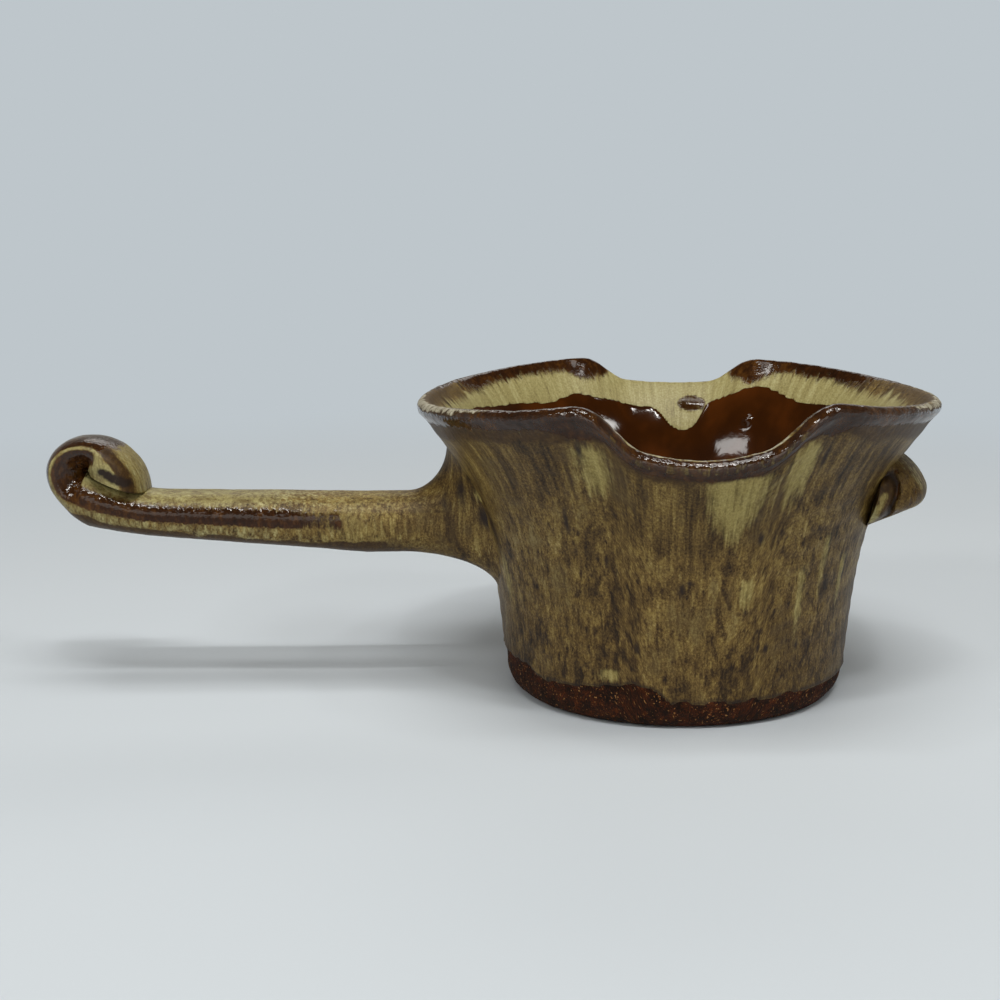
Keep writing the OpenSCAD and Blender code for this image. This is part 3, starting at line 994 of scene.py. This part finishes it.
def root_ring(q, s):
    """The smoothed root, which swells from the bar (q = 0) to the wall (q = a right angle)."""
    y = BAR_W / 2 * rounded(np.cos(s), BAR_SQUARE)
    z = BAR_ROOT_Z + BAR_ROOT_T / 2 * rounded(np.sin(s), BAR_SQUARE)
    fillet = mix(ROOT_FILLET, ROOT_ABOVE, np.maximum(0, np.sin(s)))
    seat_y = y + ROOT_FILLET * np.cos(s)
    seat_z = z + fillet * np.sin(s)
    seat_x = -np.sqrt(outer_r(seat_z, math.pi) ** 2 - seat_y ** 2)
    reach = mix(ROOT_FILLET, ROOT_UNDER, np.maximum(0, -np.sin(s)))
    grown = 1 - math.cos(q)
    return np.stack([seat_x - reach * (1 - math.sin(q)), mix(y, seat_y, grown), mix(z, seat_z, grown)], -1)


def bar_ring(x, s):
    """The bar at x: near the curl it climbs until its top is at the eye."""
    f = (BAR_ROOT_X - x) / (BAR_ROOT_X - EYE_X)
    climb = max(0.0, (RAMP_X - x) / (RAMP_X - EYE_X)) ** 2
    top = mix(BAR_TOP_Z, BAR_END_Z, f)
    under = top - mix(BAR_ROOT_T, BAR_END_T, f)
    low = (x, under + climb * (EYE_RISE + BAR_END_T - CURL_ROOT_R))
    return strap_ring(low, (x, top + climb * EYE_RISE), BAR_W, s)


def curl_reach(q):
    """Outer radius of the curl at angle q round the eye, from the bar below it over the crown to the tip."""
    root = (CURL_ROOT_R - CURL_R) * max(0.0, 1 - q / SETTLE_Q) ** 2
    crown = (CURL_R - CURL_CROWN_R) * float(smooth(2 * q / math.pi - 1))
    tip = (CURL_TIP_R - CURL_CROWN_R) * max(0.0, (q - REACH_Q) / (CURL_TURN - REACH_Q)) ** REACH_POWER
    return CURL_R + root - crown + tip


def curl_ring(q, s):
    eye = np.array([EYE_X, EYE_Z])
    out = np.array([-math.sin(q), -math.cos(q)])
    w = mix(BAR_W, CURL_TIP_W, smooth(q / CURL_TURN))
    dish = CURL_DISH * smooth(q / SETTLE_Q) * mix(1, TIP_DISH, rise(q, REACH_Q, SETTLE_Q))
    return strap_ring(eye + out * curl_reach(q), eye, w, s, dish)


def handle_places():
    """The handle's grid of points, in the order [ring, point], and where each point lies on the handle."""
    s = np.arange(BAR_SIDES) * TAU / BAR_SIDES
    turns = np.linspace(0, CURL_TURN + TIP_PRESS, CURL_RINGS)
    rings = [root_ring(QUARTER, s) + np.array([ROOT_BURY, 0, 0])]
    rings += [root_ring(QUARTER * (1 - i / ROOT_RINGS), s) for i in range(ROOT_RINGS)]
    rings += [bar_ring(mix(BAR_ROOT_X, RAMP_X, i / BAR_RINGS), s) for i in range(BAR_RINGS)]
    rings += [bar_ring(mix(RAMP_X, EYE_X, i / RAMP_RINGS), s) for i in range(RAMP_RINGS)]
    rings += [curl_ring(q, s) for q in turns]
    p = np.array(rings)
    at = SimpleNamespace(p=p, x=p[..., 0], y=p[..., 1], z=p[..., 2])
    at.v = (1 + rounded(np.sin(s), BAR_SQUARE))[None, :] / 2 + 0 * at.x
    at.q = np.degrees(np.append(np.zeros(len(rings) - CURL_RINGS), turns))[:, None] + 0 * at.x
    at.waver = noise(p, (8, 40, 40), 53)
    at.chop = noise(p, (3.4, 40, 40), 57)
    at.curl = rise(at.q, 5, 40)
    at.tip = rise(at.q + lumps(p, TIP_FRAY), 190, 50)
    at.root = rise(at.x, *ROOT_COAT)
    # The crease is pressed into the root, and its shade is painted too
    at.crease = hump(at.x, CREASE_X, CREASE_HALF) * band(at.z, *CREASE_BAND) * (at.y < 0)
    return at


def handle_painted_shade(at):
    """Painted shade in the handle's folds: its crease, under the tip, the ramp, the eye and behind the crown.
    """
    under_tip = at.tip * rise(at.v, 0.84, 0.1)
    start, end, soft = RAMP_SHADE
    on_ramp = band(at.x, EYE_X + start, EYE_X + end, soft) * rise(at.v, 0.88, 0.1) * (1 - at.curl)
    in_eye = at.curl * (1 - at.tip) * rise(at.v, 0.86, 0.12)
    lump = band(at.q, 150, 235, 30) * below(at.v, 0.3, 0.2) * below(LUMP_Y, at.y, LUMP_Y)
    shades = [at.crease, under_tip, 0.9 * on_ramp, 0.9 * in_eye, 0.7 * lump]
    return np.maximum.reduce(shades)


def handle_coats(at):
    """The fields of all coats on the handle."""
    v, q, x, curl, tip = at.v, at.q, at.x, at.curl, at.tip
    on_bar = 1 - rise(x, *BAR_COAT)
    fades = [rise(x, *fade) for fade in BAND_FADES]
    on_band = 1 - sum(fades) / len(fades) + 0.30 * at.chop * rise(x, *BAND_CHOPPED)
    under_end = mix(UNDER_V[0] + 0.09 * at.waver + 0.05 * at.chop, UNDER_V[1], curl)
    low_end = mix(*BAND_LOW_V, curl)
    top_end = mix(*BAND_TOP_V, rise(q, *BROWN_SPREAD)) + 0.03 * at.waver
    streak_v = mix(*STREAK_V, rise(q, *STREAK_TURN))
    streak = rise(q, 45, 40) * below(np.abs(v - streak_v), STREAK_HALF, 0.12)

    under = below(v, under_end, 0.10) * (1 - rise(x, *UNDER_COAT))
    brown = below(low_end, v, 0.16) * below(v, top_end, 0.28) * on_band * (1 - tip)
    brown = np.maximum(brown, STREAK_STRENGTH * streak * (1 - rise(q, *STREAK_FADE)))
    outer_edge = band(q, 150, 236, 24) * below(v, EDGE_V + 0.03 * at.chop, 0.06)
    brown = np.maximum(brown, 0.8 * outer_edge)

    cream = (1 - brown) * (1 - under) * mix(0.20, 0.84, on_bar) * (1 - 0.75 * at.root)
    cream = cream * (1 - 0.38 * below(v, low_end, 0.1) * (1 - curl))
    line = band(v, 0.17, 0.26, 0.08) * rise(q, 25, 20) * (1 - rise(q, 215, 25))
    cream = np.maximum(cream, 0.75 * line)
    cream = mix(cream, np.where(v > streak_v, 0.85, 0.42) * (1 - streak), tip)
    on_tip = np.maximum(STREAK_STRENGTH * streak, 0.32 * (v < streak_v))
    mauve = np.maximum(under * (1 - tip), tip * on_tip)
    pale = np.maximum(0.5 * (1 - on_bar) * (1 - at.root), 0.8 * tip * (1 - streak))

    dark = handle_painted_shade(at)
    for *place, strength in HANDLE_MARKS:
        mark = np.exp(-(((at.p - place[:3]) / place[3:]) ** 2).sum(-1))
        dark = np.maximum(dark, strength * mark)
        pale = np.maximum(pale, -strength * mark)
    coats = {
        "tone": mix(0.08, -0.09, at.root),
        "low": mix(0.7, 0.0, at.root),
        "pitted": np.maximum(rise(v, 0.5, 0.3), 0.5 * curl),
    }
    coats.update(pale=pale, mauve=mauve, cream=cream, dark=dark, brown=brown)
    return coats


def build_handle(material):
    at = handle_places()
    coats = handle_coats(at)
    push = HANDLE_CLAY + lumps(at.p, *HANDLE_LUMPS) + HANDLE_CREAM_T * coats["cream"]
    push = push + FULL_UNDER * below(at.v, 0.25, 0.3) * (1 - at.curl) - CREASE_DEPTH * at.crease
    push = push * (1 - 0.8 * rise(at.q, *TIP_RELIEF))
    # The normals of this grid point inward
    add_strap("pulled_handle", at.p, -push, coats, material, "handle")


# The lug, with the values of the solid model

LUG_TURN = math.radians(17)
LUG_TOP_Z = 51.8
LUG_W = 26.0
LUG_T = 3.1
LUG_OUT = 7.0
LUG_DROOP = math.radians(35)
LUG_BEND = math.radians(30)
LUG_RETURN = math.radians(25)
LUG_SLIT = 0.4
# Shallower than the solid's, which is cut off at the wall
LUG_BURY = 3.2
LUG_SQUARE = 2.6
LUG_SIDES = 180
LUG_CAP_RINGS = 44
LUG_RUN_STEPS = 24
LUG_FOLD_STEPS = 30

# The core of the roll, which shows as an oval on both ends: its place in radius and height, its half
# sizes and tilt, and how ragged it is
LUG_CORE = (44.9, 44.6)
LUG_CORE_SIZE = (3.1, 6.2)
LUG_CORE_TILT = math.radians(24)
LUG_CORE_FRAY = (0.5, 2.2, 75)
# How far from the middle the ends start, and over how much
LUG_END = (6, 4)
GROOVE_HALF = 0.16
GROOVE_DEPTH = 1.3
CORE_SWELL = 0.5
CORE_INNER = (0.92, 0.25)

# Glaze and painted shade on the lug, by places across and along the core: middle and half size, or limit and
# softness
POOL_ACROSS = (0.3, 1.3)
POOL_ALONG = (-2.6, 2.0)
OCHRE_ACROSS = (0.7, 1.0)
OCHRE_ALONG = (3.0, 2.0)
# Painted shade on the side of the core towards the wall
SHADE_ACROSS = (-1.0, 1.0)
# Relief of the lug
LUG_CLAY = -0.08
LUG_LUMPS = (0.08, 5, 73)
LUG_END_LUMPS = (0.10, 2, 74)


def turned_run(x, z, heading, length, turn, steps):
    """Points along a run that turns evenly, each with its heading."""
    f = np.arange(1, steps + 1) / steps
    if turn == 0:
        xs, zs = x + length * f * math.cos(heading), z + length * f * math.sin(heading)
    else:
        radius = length / turn
        xs = x + radius * (np.sin(heading + turn * f) - math.sin(heading))
        zs = z + radius * (math.cos(heading) - np.cos(heading + turn * f))
    return np.stack([xs, zs, heading + turn * f], -1)


def lug_outline():
    """The lug's outline in a plane through the pot's axis, as pairs of radius and height."""
    fold_r = (LUG_T + LUG_SLIT) / 2
    fold = math.pi - LUG_DROOP - LUG_BEND - LUG_RETURN
    start = (float(outer_r(LUG_TOP_Z, -LUG_TURN)), LUG_TOP_Z, -LUG_DROOP)
    root = turned_run(*start, -LUG_BURY, 0, 1)
    out = turned_run(*start, LUG_OUT, -LUG_BEND, LUG_RUN_STEPS)
    bent = turned_run(*out[-1], fold * fold_r, -fold, LUG_FOLD_STEPS)
    run = (bent[-1][0] - float(outer_r(bent[-1][1], -LUG_TURN))) / math.cos(LUG_RETURN) + LUG_BURY
    back = turned_run(*bent[-1], run, 0, LUG_RUN_STEPS)
    path = np.vstack([root, start, out, bent, back])
    edge = path[:, :2] + LUG_T / 2 * np.stack([-np.sin(path[:, 2]), np.cos(path[:, 2])], -1)
    edge = np.vstack([edge, edge[:1]])
    along = np.append(0, np.cumsum(np.hypot(*np.diff(edge, axis=0).T)))
    places = np.arange(LUG_SIDES) / LUG_SIDES * along[-1]
    return np.stack([np.interp(places, along, edge[:, i]) for i in (0, 1)], -1)


def lug_places():
    """The lug's grid of points, in the order [ring, point], and where each point lies on the roll."""
    outline = lug_outline()
    core = np.array(LUG_CORE)
    q = np.linspace(0, math.pi, 2 * LUG_CAP_RINGS + 1)[1:-1]
    share = np.sin(q) ** (2 / LUG_SQUARE)
    y = -LUG_W / 2 * rounded(np.cos(q), LUG_SQUARE)[:, None]
    plane = core + (outline - core)[None] * share[:, None, None]
    off_r, off_z = np.moveaxis(plane - core, -1, 0)
    tilt_cos, tilt_sin = math.cos(LUG_CORE_TILT), math.sin(LUG_CORE_TILT)
    ragged = lumps(np.stack([plane[..., 0], plane[..., 1], 0 * plane[..., 0]], -1), LUG_CORE_FRAY)
    at = SimpleNamespace()
    at.along = off_r * tilt_sin + off_z * tilt_cos
    at.across = off_r * tilt_cos - off_z * tilt_sin
    at.oval = np.hypot((at.across + ragged) / LUG_CORE_SIZE[0], at.along / LUG_CORE_SIZE[1])
    at.end = rise(np.abs(y), *LUG_END)
    at.groove = hump(at.oval, 1, GROOVE_HALF) * at.end
    y = y - np.sign(y) * (GROOVE_DEPTH * at.groove - CORE_SWELL * smooth(1 - at.oval) * at.end)
    c, t = math.cos(-LUG_TURN), math.sin(-LUG_TURN)
    at.p = np.stack([c * plane[..., 0] - t * y, t * plane[..., 0] + c * y, plane[..., 1]], -1)
    return at


def lug_coats(at):
    """The fields of all coats on the lug, with painted shade in the groove and on the core's wall side."""
    feather = noise(at.p, (1.4, 1.4, 6), 71)
    inner = below(at.oval, *CORE_INNER) * at.end
    pool = hump(at.across, *POOL_ACROSS) * hump(at.along, *POOL_ALONG) * at.end
    ochre = inner * hump(at.across, *OCHRE_ACROSS) * below(at.along, *OCHRE_ALONG)
    shade = inner * below(at.across, *SHADE_ACROSS)
    return {
        "mauve": np.maximum(0.9 * inner * (1 - ochre), 0.5 * rise(at.p[..., 2], 47, 4)),
        "cream": np.maximum(0.75 * pool, 0.36 + 0.2 * feather - 0.6 * at.end),
        "dark": np.maximum(0.95 * at.groove, 0.45 * shade),
        "brown": 0.36 * at.end * (1 - inner) + 0.15 * feather,
        "pale": 0.8 * ochre,
        "low": np.full_like(inner, 0.5),
    }


def build_lug(material):
    at = lug_places()
    push = LUG_CLAY + lumps(at.p, LUG_LUMPS) + lumps(at.p, LUG_END_LUMPS) * at.end
    add_strap("rolled_lug", at.p, push, lug_coats(at), material, "lug")


glaze = make_glaze()
build_pot(glaze)
build_handle(glaze)
build_lug(glaze)


# Floor, light and camera, in metres

PAPER_COLOURS = ((0.3, (205, 212, 218)), (0.7, (207, 214, 220)))
PAPER_NOISE = ((9.0, 9.0, 9.0), 3.0, 0.5)
BACKDROP = (190, 198, 203)
# The colour of the room's light, which is a little warmer than the backdrop looks
ROOM = (203, 200, 192)
FLOOR_REACH = 2.5
FLOOR_SIDES = 96
FLOOR_Z = -0.0001
# Where the paper fades into the backdrop, from the pot's axis
PAPER_FADE = (0.17, 0.5)
# How bright the room is, from near the horizon to overhead, by the height of the direction
ROOM_LIGHT = {"From Min": 0.05, "From Max": 0.65, "To Min": 0.60, "To Max": 0.10}

# Lamps: degrees to the right of the front, degrees up, distance, width and height, and watts
LAMPS = {
    "overhead": (0, 82, 1.5, (0.70, 0.50), 6.2),
    "strip": (4, 62, 1.3, (0.70, 0.04), 6.0),
    "window": (-47, 34, 1.1, (0.25, 0.14), 1.9),
    "second_window": (47, 42, 1.2, (0.12, 0.10), 1.2),
    "front_bulb": (8, 58, 1.4, (0.09, 0.07), 1.6),
    "right_bulb": (61, 65, 1.4, (0.12, 0.10), 0.9),
    "left_bulb": (-81, 74, 1.4, (0.12, 0.10), 0.9),
    "front_card": (-8, 13, 1.5, (1.4, 0.5), 3.2),
    "back_card": (176, 34, 1.5, (1.2, 0.4), 2.4),
}
LAMP_COLOUR = (1.0, 0.99, 0.96)
LAMPS_AIM = (0.0, 0.0, 0.045)

# The photograph's own angle: the pitch is below level, and the roll lifts the right side. The lens and the
# sensor are in millimetres.
CAMERA_PLACE = (-0.0388, -0.34015, 0.10612)
CAMERA_PITCH = 0.1876
CAMERA_ROLL = -0.0122
CAMERA_LENS = 55.8
CAMERA_SENSOR = 36.0
CAMERA_NEAR = 0.01


def make_paper():
    """Pale paper, which fades into the backdrop for the camera and in mirrored light."""
    material = bpy.data.materials.new("studio_paper")
    g = Graph(material)
    shader = g.tree.nodes["Principled BSDF"]
    place = g.node("NewGeometry", {})["Position"]
    paper = g.ramp(g.noise(place, *PAPER_NOISE), *PAPER_COLOURS)
    g.fill(shader, {"Base Color": paper, "Roughness": 0.7})
    rays = g.node("LightPath", {})
    seen = g.sum(rays["Is Camera Ray"], rays["Is Glossy Ray"], rays["Is Transmission Ray"])
    away = g.node("VectorMath", {0: place}, operation="LENGTH")["Value"]
    far = g.times(g.step(away, *PAPER_FADE), g.math("MINIMUM", seen, 1.0))
    glow = g.node("Emission", {"Color": linear(*BACKDROP)})[0]
    surface = g.node("MixShader", {0: far, 1: shader.outputs[0], 2: glow})[0]
    g.fill(g.tree.nodes["Material Output"], {"Surface": surface})
    return material


def build_floor():
    """A round sheet of paper just under the pot."""
    mesh = bpy.data.meshes.new("studio_floor")
    turns = [TAU * i / FLOOR_SIDES for i in range(FLOOR_SIDES)]
    ring = [(FLOOR_REACH * math.cos(q), FLOOR_REACH * math.sin(q), FLOOR_Z) for q in turns]
    mesh.from_pydata(ring, [], [tuple(range(FLOOR_SIDES))])
    mesh.materials.append(make_paper())
    floor = bpy.data.objects.new("studio_floor", mesh)
    bpy.context.scene.collection.objects.link(floor)


def light_world():
    """The backdrop all round as the camera sees it. As light it is bright at the horizon and dim overhead."""
    world = bpy.data.worlds.new("studio")
    bpy.context.scene.world = world
    g = Graph(world)
    by_camera = g.node("LightPath", {})["Is Camera Ray"]
    colour = g.blend(by_camera, linear(*ROOM), linear(*BACKDROP))
    direction = g.node("TexCoord", {})["Generated"]
    height = g.node("SeparateXYZ", {0: direction})["Z"]
    fall = g.node("MapRange", {"Value": height, **ROOM_LIGHT})["Result"]
    strength = g.math("MAXIMUM", by_camera, fall)
    g.fill(g.tree.nodes["Background"], {"Color": colour, "Strength": strength})


def add_lamp(name, degrees, rise_degrees, distance, size, power):
    """A rectangular lamp that looks at the pot."""
    turn, lift = math.radians(degrees), math.radians(rise_degrees)
    away = Vector((math.sin(turn) * math.cos(lift), -math.cos(turn) * math.cos(lift), math.sin(lift)))
    data = bpy.data.lights.new(name, "AREA")
    data.shape = "RECTANGLE"
    data.size, data.size_y = size
    data.energy = power
    data.color = LAMP_COLOUR
    lamp = bpy.data.objects.new(name, data)
    lamp.location = Vector(LAMPS_AIM) + distance * away
    lamp.rotation_euler = (-away).to_track_quat("-Z", "Y").to_euler()
    bpy.context.scene.collection.objects.link(lamp)


def place_camera():
    data = bpy.data.cameras.new("camera")
    data.lens = CAMERA_LENS
    data.sensor_width = CAMERA_SENSOR
    data.clip_start = CAMERA_NEAR
    camera = bpy.data.objects.new("camera", data)
    bpy.context.scene.collection.objects.link(camera)
    turn = Matrix.Rotation(QUARTER - CAMERA_PITCH, 4, "X") @ Matrix.Rotation(CAMERA_ROLL, 4, "Z")
    camera.matrix_world = Matrix.Translation(CAMERA_PLACE) @ turn
    bpy.context.scene.camera = camera


build_floor()
light_world()
for lamp_name, lamp_values in LAMPS.items():
    add_lamp(lamp_name, *lamp_values)
place_camera()
bpy.context.scene.view_settings.view_transform = "Standard"
